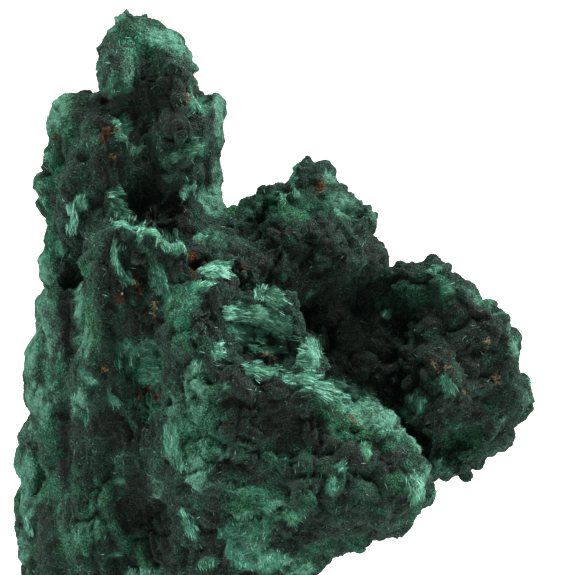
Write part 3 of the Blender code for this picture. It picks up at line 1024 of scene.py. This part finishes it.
def laid_blade(tree, column, row, turn, reach, rng):
    """A blade's start, end and face, lying along what the camera sees from a pixel on, or None."""
    root = seen_at(tree, column, row)
    if not root:
        return None
    flat = Vector((math.cos(turn), 0, 0)) + UP_THE_PICTURE * math.sin(turn)
    end = root[0] + flat * reach * PIXEL
    tip = seen_at(tree, column + math.cos(turn) * reach, row - math.sin(turn) * reach)
    if tip and abs((tip[0] - end).dot(LOOK)) < 0.9 * MM:
        end = tip[0]
    outward = (root[1] - LOOK).normalized()
    start = root[0] + outward * rng.uniform(-0.1, 0.1) * MM
    return start, end + outward * rng.uniform(0.0, 0.3) * MM, root[2]


def fringe_blades(tree, fringe, rng):
    """The blades of one fringe with their tones. They come in tufts that overlap like shingles."""
    corners, run, length, fan, light = fringe
    line = sum(math.dist(a, b) for a, b in zip(corners, corners[1:])) * PIXEL / MM
    blades = []
    for _ in range(int(line * TUFTS_PER_MM) + 3):
        share = rng.random()
        column, row = on_line(corners, share)
        turn = math.radians(run + fan * (0.5 - share) + rng.gauss(0, 7))
        begin = length * rng.random() ** 1.3 * 0.7 * MM / PIXEL
        reach = length * rng.uniform(0.22, 0.55) * MM / PIXEL
        tone = min(max(light - 0.25 + rng.gauss(0, 0.25), 0.0), 1.0)
        for _ in range(rng.randint(*TUFT_BLADES)):
            aside = rng.gauss(0, 1.3)
            along = begin + rng.gauss(0, 1.2)
            start_column = column + math.cos(turn) * along + math.sin(turn) * aside
            start_row = row - math.sin(turn) * along + math.cos(turn) * aside
            bent = turn + rng.gauss(0, 0.09)
            its_reach = reach * rng.uniform(0.6, 1.15)
            laid = laid_blade(tree, start_column, start_row, bent, its_reach, rng)
            if laid:
                blades.append((*laid, min(max(tone + rng.gauss(0, 0.2), 0.0), 1.0)))
    return blades


def all_silk(mesh):
    """Gives the whole mesh the masks of a freshly broken place."""
    for name in ("broken", "green", "top"):
        set_attribute(mesh, name, np.ones(len(mesh.vertices)))
    for name in ("pale", "dark", "crease", "rust"):
        set_attribute(mesh, name, np.zeros(len(mesh.vertices)))


def fringes_piece(crust, tree):
    rng = random.Random(900)
    blades = [blade for fringe in FRINGES for blade in fringe_blades(tree, fringe, rng)]
    starts = np.array([list(blade[0]) for blade in blades])
    reach = np.array([list(blade[1]) for blade in blades]) - starts
    lengths = np.linalg.norm(reach, axis=1)
    ways = reach / lengths[:, None]
    widths = np.array([rng.uniform(*BLADE_RADIUS) for _ in blades])
    piece, each = fibre_mesh("fringes", starts, ways, widths, lengths, ((0.0, 1.0), (0.8, 0.75)))
    faces = crust.data.polygons
    corners = np.array([list(faces[blade[2]].vertices)[:3] for blade in blades])
    carry_attributes(crust.data, corners, piece.data, each, ("open",))
    all_silk(piece.data)
    set_vectors(piece.data, "run", np.repeat(ways, each, axis=0))
    set_attribute(piece.data, "tone", np.repeat([blade[3] for blade in blades], each))
    return piece


def needles_piece(crust):
    """Single light needles that lie on the velvet here and there and catch the light."""
    mesh = crust.data
    rng = np.random.default_rng(600)
    heights = np.array([f.center.z for f in mesh.polygons])
    centres = np.array([f.center for f in mesh.polygons])
    weights = smooth_step(0.5 * MM, 1.5 * MM, heights)
    weights *= smooth_step(-0.1, 0.5, noise_at(centres, 1.8 * MM, 3, 15)) + 0.05
    roots, facing, corners = skin_samples(mesh, NEEDLES, 601, weights)
    flat = rng.normal(0, 1, roots.shape)
    flat -= facing * (flat * facing).sum(axis=1, keepdims=True)
    flat /= np.linalg.norm(flat, axis=1, keepdims=True)
    ways = flat + facing * rng.uniform(0.0, 0.6, (NEEDLES, 1))
    ways /= np.linalg.norm(ways, axis=1, keepdims=True)
    lengths = rng.uniform(*NEEDLE_LENGTH, NEEDLES)
    widths = rng.uniform(*NEEDLE_RADIUS, NEEDLES)
    start = roots + facing * 0.08 * MM
    piece, each = fibre_mesh("needles", start, ways, widths, lengths, ((0.0, 1.0), (0.6, 0.9)))
    carry_attributes(mesh, corners, piece.data, each, ("open",))
    all_silk(piece.data)
    set_vectors(piece.data, "run", np.repeat(ways, each, axis=0))
    set_attribute(piece.data, "tone", np.repeat(rng.uniform(0.3, 1.0, NEEDLES), each))
    return piece


# Crumbs


def crumb_piece(crust, tree, kind):
    """Clusters of small grains at the places of this kind, and some strays."""
    rng = random.Random(f"crumbs {kind}")
    grains = []
    for column, row, size, made_of in CRUMBS:
        if made_of != kind:
            continue
        for _ in range(int(5 + size * 22) if kind != "pearl" else 3):
            spread = size * 4.5
            aside = rng.gauss(0, spread) * 0.5
            below = rng.gauss(0, spread) * 0.5
            hit = seen_at(tree, column + aside, row + below)
            if hit:
                biggest = 0.22 + size * (0.3 if kind == "pearl" else 0.14)
                grains.append((hit[0], hit[1], rng.uniform(0.12, biggest) * MM))
    if kind in ("rust", "tan", "ochre"):
        for face in rng.sample(list(crust.data.polygons), STRAY_CRUMBS):
            if face.center.z > 2 * MM:
                grains.append((face.center.copy(), face.normal.copy(), rng.uniform(0.12, 0.3) * MM))
    bm = bmesh.new()
    for place, normal, size in grains:
        ball = bmesh.ops.create_icosphere(bm, subdivisions=1, radius=size / 2)
        axis = Vector([rng.uniform(-1, 1) for _ in range(3)])
        turn = Matrix.Rotation(rng.uniform(0, math.pi), 4, axis)
        shape = Matrix.Diagonal((1.0, rng.uniform(0.45, 0.9), rng.uniform(0.3, 0.7), 1.0))
        for vert in ball["verts"]:
            vert.co *= rng.uniform(0.6, 1.25)
        laid = Matrix.Translation(place) @ turn @ shape
        bmesh.ops.transform(bm, matrix=laid, verts=ball["verts"])
    mesh = bpy.data.meshes.new(f"crumbs_{kind}")
    bm.to_mesh(mesh)
    bm.free()
    return linked(f"crumbs_{kind}", mesh)


# Materials


class Nodes:
    """A short way of adding and joining shader nodes in one tree."""

    def __init__(self, tree):
        self.tree = tree

    def add(self, kind, inputs=None, **settings):
        node = self.tree.nodes.new(kind)
        for name, value in settings.items():
            setattr(node, name, value)
        for name, value in (inputs or {}).items():
            self.feed(node.inputs[name], value)
        return node

    def feed(self, socket, value):
        if isinstance(value, bpy.types.NodeSocket):
            self.tree.links.new(value, socket)
        else:
            socket.default_value = value

    def math(self, operation, first, second=None, clamp=False):
        node = self.add("ShaderNodeMath", operation=operation, use_clamp=clamp)
        self.feed(node.inputs[0], first)
        if second is not None:
            self.feed(node.inputs[1], second)
        return node.outputs[0]

    def vector(self, operation, first, second, output="Vector"):
        node = self.add("ShaderNodeVectorMath", operation=operation)
        self.feed(node.inputs[0], first)
        self.feed(node.inputs[1], second)
        return node.outputs[output]

    def ramp(self, value, low, high, low_out=0.0, high_out=1.0):
        inputs = {
            "Value": value,
            "From Min": low,
            "From Max": high,
            "To Min": low_out,
            "To Max": high_out,
        }
        node = self.add("ShaderNodeMapRange", inputs, interpolation_type="SMOOTHSTEP")
        return node.outputs["Result"]

    def mix(self, share, first, second, blend="MIX"):
        node = self.add("ShaderNodeMix", data_type="RGBA", blend_type=blend, clamp_factor=True)
        self.feed(node.inputs[0], share)
        self.feed(node.inputs[6], first)
        self.feed(node.inputs[7], second)
        return node.outputs[2]

    def grey(self, value):
        channels = {"Red": value, "Green": value, "Blue": value}
        return self.add("ShaderNodeCombineColor", channels).outputs[0]

    def noise(self, place, size, detail=3.0, roughness=0.6, distortion=0.0):
        node = self.add(
            "ShaderNodeTexNoise",
            {
                "Vector": place,
                "Scale": 1 / size,
                "Detail": detail,
                "Roughness": roughness,
                "Distortion": distortion,
            },
        )
        return node.outputs["Fac"]

    def attribute(self, name):
        return self.add("ShaderNodeAttribute", attribute_name=name).outputs["Fac"]


def socket(group, name, kind, way="INPUT", value=None):
    made = group.interface.new_socket(name, in_out=way, socket_type=kind)
    if value is not None:
        made.default_value = value
    return made


def streaked(n, place):
    """The place squeezed along the fibres, so that a noise there comes out streaked."""
    run = n.add("ShaderNodeAttribute", attribute_name="run").outputs["Vector"]
    along = n.vector("DOT_PRODUCT", place, run, "Value")
    back = n.add("ShaderNodeVectorMath", {0: run}, operation="SCALE")
    n.feed(back.inputs["Scale"], n.math("MULTIPLY", along, 0.9))
    return n.vector("SUBTRACT", place, back.outputs[0])


def velvet_colour(n, given, fine, middle, warm):
    """The velvet's greens, from near black to pale, with rusty stains. The pale is partly painted
    light, strongest on the lumps' tops as a painted highlight.
    """
    green = n.math("MULTIPLY", given["Green"], n.ramp(fine, 0.3, 0.6, 0.35, 1.15), clamp=True)
    colour = n.mix(green, DARK_VELVET, n.mix(warm, GREEN_VELVET, WARM_GREEN))
    dark = n.math("MULTIPLY", given["Dark"], n.ramp(middle, 0.3, 0.62, 1.0, 0.65), clamp=True)
    colour = n.mix(dark, colour, NEAR_BLACK)
    # paler on the lumps' tops: painted highlight
    pale = n.math("MULTIPLY", given["Pale"], n.ramp(given["Top"], 0.25, 0.8, 0.15, 1.0))
    pale = n.math("MULTIPLY", pale, n.ramp(fine, 0.3, 0.62, 0.3, 1.1), clamp=True)
    colour = n.mix(pale, colour, PALE_AND_LIT_VELVET)
    rust = n.math("MULTIPLY", given["Rust"], n.ramp(fine, 0.35, 0.55, 0.3, 0.95))
    return n.mix(rust, colour, RUST_STAIN)


def glint_mask(n, place, middle, amount):
    """Sparse light specks, painted glints, more of them in some places than in others."""
    glint_cells = n.add("ShaderNodeTexVoronoi", {"Vector": place, "Scale": 1 / (0.24 * MM)})
    chosen = n.add("ShaderNodeSeparateColor", {"Color": glint_cells.outputs["Color"]}).outputs["Red"]
    near = n.ramp(glint_cells.outputs["Distance"], 0.42, 0.18)
    glint_share = n.math("MULTIPLY", n.ramp(chosen, 0.84, 0.98), near)
    glint_share = n.math("MULTIPLY", glint_share, n.ramp(middle, 0.48, 0.62, 0.15, 1.0))
    return n.math("MULTIPLY", glint_share, amount, clamp=True)


def tuft_distance(n, place):
    """How far a place is from the middle of its tuft of fibres, in a bent pattern of cells."""
    sway = n.add("ShaderNodeTexNoise", {"Vector": place, "Scale": 1 / (0.3 * MM)}).outputs["Color"]
    bend = n.add("ShaderNodeVectorMath", {0: sway}, operation="SCALE")
    bend.inputs["Scale"].default_value = 0.25 * MM
    bent = n.vector("ADD", place, bend.outputs[0])
    cells = n.add("ShaderNodeTexVoronoi", {"Vector": bent, "Scale": 1 / (0.18 * MM)})
    return cells.outputs["Distance"]


def sparkled(n, colour, tufts, tiny, pale):
    """The colour made lighter and darker by tufts and tiny fibres, less so where it is pale:
    painted shade at the tufts' edges and painted sparkle in tiny spots.
    """
    by_tuft = n.ramp(tufts, 0.8, 0.2, 0.55, 1.4)
    light = n.math("MULTIPLY", by_tuft, n.ramp(tiny, 0.4, 0.7, 0.45, 2.4))
    change = n.math("SUBTRACT", light, 1.0)
    change = n.math("MULTIPLY", change, n.ramp(pale, 0.2, 1.0, 1.0, 0.3))
    return n.mix(1.0, colour, n.grey(n.math("ADD", change, 1.0)), "MULTIPLY")


def silk_colour(n, fibres, middle, warm):
    """The silky broken places, streaked along their fibres."""
    silk = n.mix(n.ramp(fibres, 0.38, 0.58), SILK_SHADE, n.mix(warm, SILK_LIGHT, SILK_WARM))
    return n.mix(n.ramp(middle, 0.45, 0.25, 0.0, 0.6), silk, SILK_SHADE)


def with_painted_shade(n, colour, given):
    """Painted shade: the colour gone near black in crevices and on the lumps' low sides, and a flat
    dark grey deep in the hollows that lifts their shade as painted stray light.
    """
    whole = n.math("SUBTRACT", 1.0, n.math("MULTIPLY", given["Broken"], 0.7))
    # painted shade on the lumps' low sides and in crevices
    low = n.math("MULTIPLY", n.ramp(given["Top"], 0.62, 0.25, 0.0, 0.9), whole)
    colour = n.mix(low, colour, PAINTED_CREASE_SHADE)
    colour = n.mix(n.math("MULTIPLY", given["Crease"], 0.8), colour, PAINTED_CREASE_SHADE)
    # painted lift of the shade deep in the hollows, standing in for stray light
    return n.mix(n.ramp(given["Open"], 0.25, 0.62, 0.85, 0.0), colour, HOLLOW_STRAY_LIGHT_GREY)


def malachite_group():
    """Colour, roughness and grain of malachite at a place, from the masks of the skin."""
    group = bpy.data.node_groups.new("Malachite growth", "ShaderNodeTree")
    for name in GROWTH_INPUTS:
        socket(group, name, "NodeSocketFloat")
    socket(group, "Glint amount", "NodeSocketFloat", value=0.5)
    socket(group, "Colour", "NodeSocketColor", "OUTPUT")
    socket(group, "Roughness", "NodeSocketFloat", "OUTPUT")
    socket(group, "Grain", "NodeSocketFloat", "OUTPUT")
    n = Nodes(group)
    given = n.add("NodeGroupInput").outputs
    place = n.add("ShaderNodeTexCoord").outputs["Object"]
    tiny = n.noise(place, 0.16 * MM, 3.0, 0.7)
    fine = n.noise(place, 0.45 * MM, 4.0, 0.65)
    middle = n.noise(place, 1.3 * MM, 3.0, 0.6)
    warm = n.ramp(n.noise(place, 3.5 * MM, 3.0, 0.6), 0.42, 0.62)
    fibres = n.noise(streaked(n, place), 0.17 * MM, 4.0, 0.6)
    tufts = tuft_distance(n, place)

    colour = velvet_colour(n, given, fine, middle, warm)
    colour = n.mix(glint_mask(n, place, middle, given["Glint amount"]), colour, PAINTED_GLINT)
    colour = sparkled(n, colour, tufts, tiny, given["Pale"])
    colour = n.mix(given["Broken"], colour, silk_colour(n, fibres, middle, warm))
    colour = with_painted_shade(n, colour, given)

    silky = n.math("MULTIPLY", given["Broken"], 0.25)
    rough = n.math("SUBTRACT", n.ramp(fine, 0.3, 0.7, 0.92, 0.74), silky)
    velvet = n.math("SUBTRACT", fine, n.math("MULTIPLY", tufts, 0.7))
    velvet = n.math("ADD", n.math("MULTIPLY", tiny, 1.2), velvet)
    streaks = n.math("MULTIPLY", fibres, 1.6)
    grain = n.add("ShaderNodeMix", {0: given["Broken"], 2: velvet, 3: streaks})
    out = n.add("NodeGroupOutput")
    n.feed(out.inputs["Colour"], colour)
    n.feed(out.inputs["Roughness"], rough)
    n.feed(out.inputs["Grain"], grain.outputs[0])
    return group


def new_material(name):
    material = bpy.data.materials.new(name)
    material.use_nodes = True
    shader = material.node_tree.nodes["Principled BSDF"]
    return material, Nodes(material.node_tree), shader


def grown(n, group, glint_amount):
    node = n.add("ShaderNodeGroup", node_tree=group)
    for name in GROWTH_INPUTS:
        n.feed(node.inputs[name], n.attribute(name.lower()))
    node.inputs["Glint amount"].default_value = glint_amount
    return node.outputs


def velvety(shader, weight):
    shader.inputs["Specular IOR Level"].default_value = 0.06
    shader.inputs["Sheen Weight"].default_value = weight
    shader.inputs["Sheen Roughness"].default_value = 0.4
    shader.inputs["Sheen Tint"].default_value = (0.3, 0.8, 0.6, 1.0)


def crust_material(group):
    material, n, shader = new_material("Malachite crust")
    made = grown(n, group, 0.5)
    place = n.add("ShaderNodeTexCoord").outputs["Object"]
    banding = n.add(
        "ShaderNodeTexWave",
        {
            "Vector": place,
            "Scale": 0.12 / MM,
            "Distortion": 9.0,
            "Detail": 3.0,
            "Detail Scale": 1.4,
        },
        wave_type="RINGS",
        rings_direction="Z",
    ).outputs["Fac"]
    foot_colour = n.mix(n.ramp(banding, 0.2, 0.8), FOOT_DARK, FOOT_LIGHT)
    colour = n.mix(n.attribute("foot"), made["Colour"], foot_colour)
    n.feed(shader.inputs["Base Color"], colour)
    n.feed(shader.inputs["Roughness"], made["Roughness"])
    velvety(shader, 0.09)
    bump = n.add("ShaderNodeBump", {"Height": made["Grain"], "Distance": 0.25 * MM})
    bump.inputs["Strength"].default_value = 1.0
    n.feed(shader.inputs["Normal"], bump.outputs["Normal"])
    return material


def velvet_material(group):
    material, n, shader = new_material("Malachite velvet")
    made = grown(n, group, 0.3)
    tone = n.attribute("tone")
    not_pale = n.ramp(n.attribute("pale"), 0.2, 1.0, 1.0, 0.4)
    shade = n.math("MULTIPLY", n.ramp(tone, 0.0, 0.6, 0.75, 0.0), not_pale)
    colour = n.mix(shade, made["Colour"], NEAR_BLACK)
    # lighter hairs only where the skin is open to the room: partly their own tone, partly painted
    # light
    lit = n.math("MULTIPLY", n.ramp(tone, 0.58, 1.0, 0.0, 0.75), n.attribute("open"))
    lit = n.math("MULTIPLY", lit, not_pale)
    colour = n.mix(lit, colour, PALE_HAIR_PAINTED_LIT)
    # the brightest hairs where the skin is open get a painted glint
    glint = n.math("MULTIPLY", n.ramp(tone, 0.9, 1.0, 0.0, 0.8), n.attribute("open"))
    colour = n.mix(glint, colour, PAINTED_GLINT)
    n.feed(shader.inputs["Base Color"], colour)
    shader.inputs["Roughness"].default_value = 0.6
    velvety(shader, 0.05)
    return material


def sheaf_material(group):
    material, n, shader = new_material("Silky malachite")
    made = grown(n, group, 0.0)
    tone = n.attribute("tone")
    colour = n.mix(n.ramp(tone, 0.0, 0.55, 0.8, 0.0), made["Colour"], SILK_SHADE)
    colour = n.mix(n.ramp(tone, 0.65, 1.0, 0.0, 0.8), colour, SILK_BRIGHT)
    colour = n.mix(n.ramp(n.attribute("tip"), 0.0, 0.55, 0.5, 0.0), colour, SILK_SHADE)
    n.feed(shader.inputs["Base Color"], colour)
    shader.inputs["Roughness"].default_value = 0.45
    shader.inputs["Specular IOR Level"].default_value = 0.3
    shader.inputs["Sheen Weight"].default_value = 0.1
    shader.inputs["Sheen Tint"].default_value = (0.6, 0.9, 0.75, 1.0)
    return material


def crumb_material(kind):
    material, n, shader = new_material(f"Crumb {kind}")
    place = n.add("ShaderNodeTexCoord").outputs["Object"]
    colour = CRUMB_COLOURS[kind]
    shade = tuple(c * 0.4 for c in colour)
    n.feed(
        shader.inputs["Base Color"],
        n.mix(n.ramp(n.noise(place, 0.2 * MM), 0.35, 0.65), (*shade, 1.0), (*colour, 1.0)),
    )
    shader.inputs["Roughness"].default_value = 0.85
    shader.inputs["Specular IOR Level"].default_value = 0.1
    return material


# Room


def camera_for_the_picture(top):
    lens_data = bpy.data.cameras.new("camera")
    camera = linked("camera", lens_data)
    half = PICTURE / 2
    across = (half - MIDDLE_COLUMN) * PIXEL
    aim = Vector((across, 0, 0)) + UP_THE_PICTURE * (top - (half - TOP_ROW) * PIXEL)
    camera.location = aim - LOOK * CAMERA_AWAY
    camera.rotation_mode = "QUATERNION"
    camera.rotation_quaternion = LOOK.to_track_quat("-Z", "Y")
    lens_data.sensor_width = 36.0
    lens_data.lens = 36.0 * CAMERA_AWAY / (PICTURE * PIXEL)
    lens_data.clip_start = 0.05
    lens_data.clip_end = 20.0
    bpy.context.scene.camera = camera


def soft_light(name, place, size, watts):
    light = bpy.data.lights.new(name, "AREA")
    light.shape = "DISK"
    light.size = size
    light.energy = watts
    lamp = linked(name, light)
    lamp.location = place
    lamp.rotation_mode = "QUATERNION"
    lamp.rotation_quaternion = (Vector(LAMPS_AIM) - Vector(place)).to_track_quat("-Z", "Y")


def room():
    bm = bmesh.new()
    bmesh.ops.create_grid(bm, x_segments=1, y_segments=1, size=4.0)
    mesh = bpy.data.meshes.new("floor")
    bm.to_mesh(mesh)
    bm.free()
    floor = linked("floor", mesh)
    paper, n, shader = new_material("Paper")
    shader.inputs["Base Color"].default_value = (0.9, 0.9, 0.9, 1.0)
    shader.inputs["Roughness"].default_value = 0.9
    mesh.materials.append(paper)
    world = bpy.data.worlds.new("room")
    world.use_nodes = True
    sky = world.node_tree.nodes["Background"]
    sky.inputs["Color"].default_value = (1.0, 1.0, 1.0, 1.0)
    sky.inputs["Strength"].default_value = ROOM_LIGHT
    bpy.context.scene.world = world
    for name, place, size, watts in LAMPS:
        soft_light(name, place, size, watts)


# The specimen

for thing in list(bpy.data.objects):
    bpy.data.objects.remove(thing)
noise.seed_set(NOISE_SEED)
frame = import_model()
malachite = frame["nodes"]["malachite"]
top_height = max(Vector(p).dot(UP_THE_PICTURE) for p in coordinates(malachite.data))

whole, skin = grown_crust(malachite)
growth = malachite_group()
crust_look = crust_material(growth)
left = np.array([face.center.x < SPLIT_AT for face in whole.data.polygons])
pieces = []
for name, chosen in (("crust_left", left), ("crust_right", ~left)):
    half = half_of(whole, chosen, name)
    half.data.materials.append(crust_look)
    pieces.append((half, "malachite"))
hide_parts("malachite")
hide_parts("malachite")

soft = velvet_material(growth)
for number in range(VELVET_PIECES):
    velvet = velvet_piece(whole, number)
    velvet.data.materials.append(soft)
    pieces.append((velvet, "malachite"))

silky = sheaf_material(growth)
for sheaf in (sheaves_piece(whole), fringes_piece(whole, skin), needles_piece(whole)):
    sheaf.data.materials.append(silky)
    pieces.append((sheaf, "fibres"))

for kind in CRUMB_COLOURS:
    crumbs = crumb_piece(whole, skin, kind)
    crumbs.data.materials.append(crumb_material(kind))
    pieces.append((crumbs, "crumbs"))

bpy.data.objects.remove(whole)

for piece, slot in pieces:
    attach(piece, "root")

room()
camera_for_the_picture(top_height)
bpy.context.scene.view_settings.view_transform = "Standard"
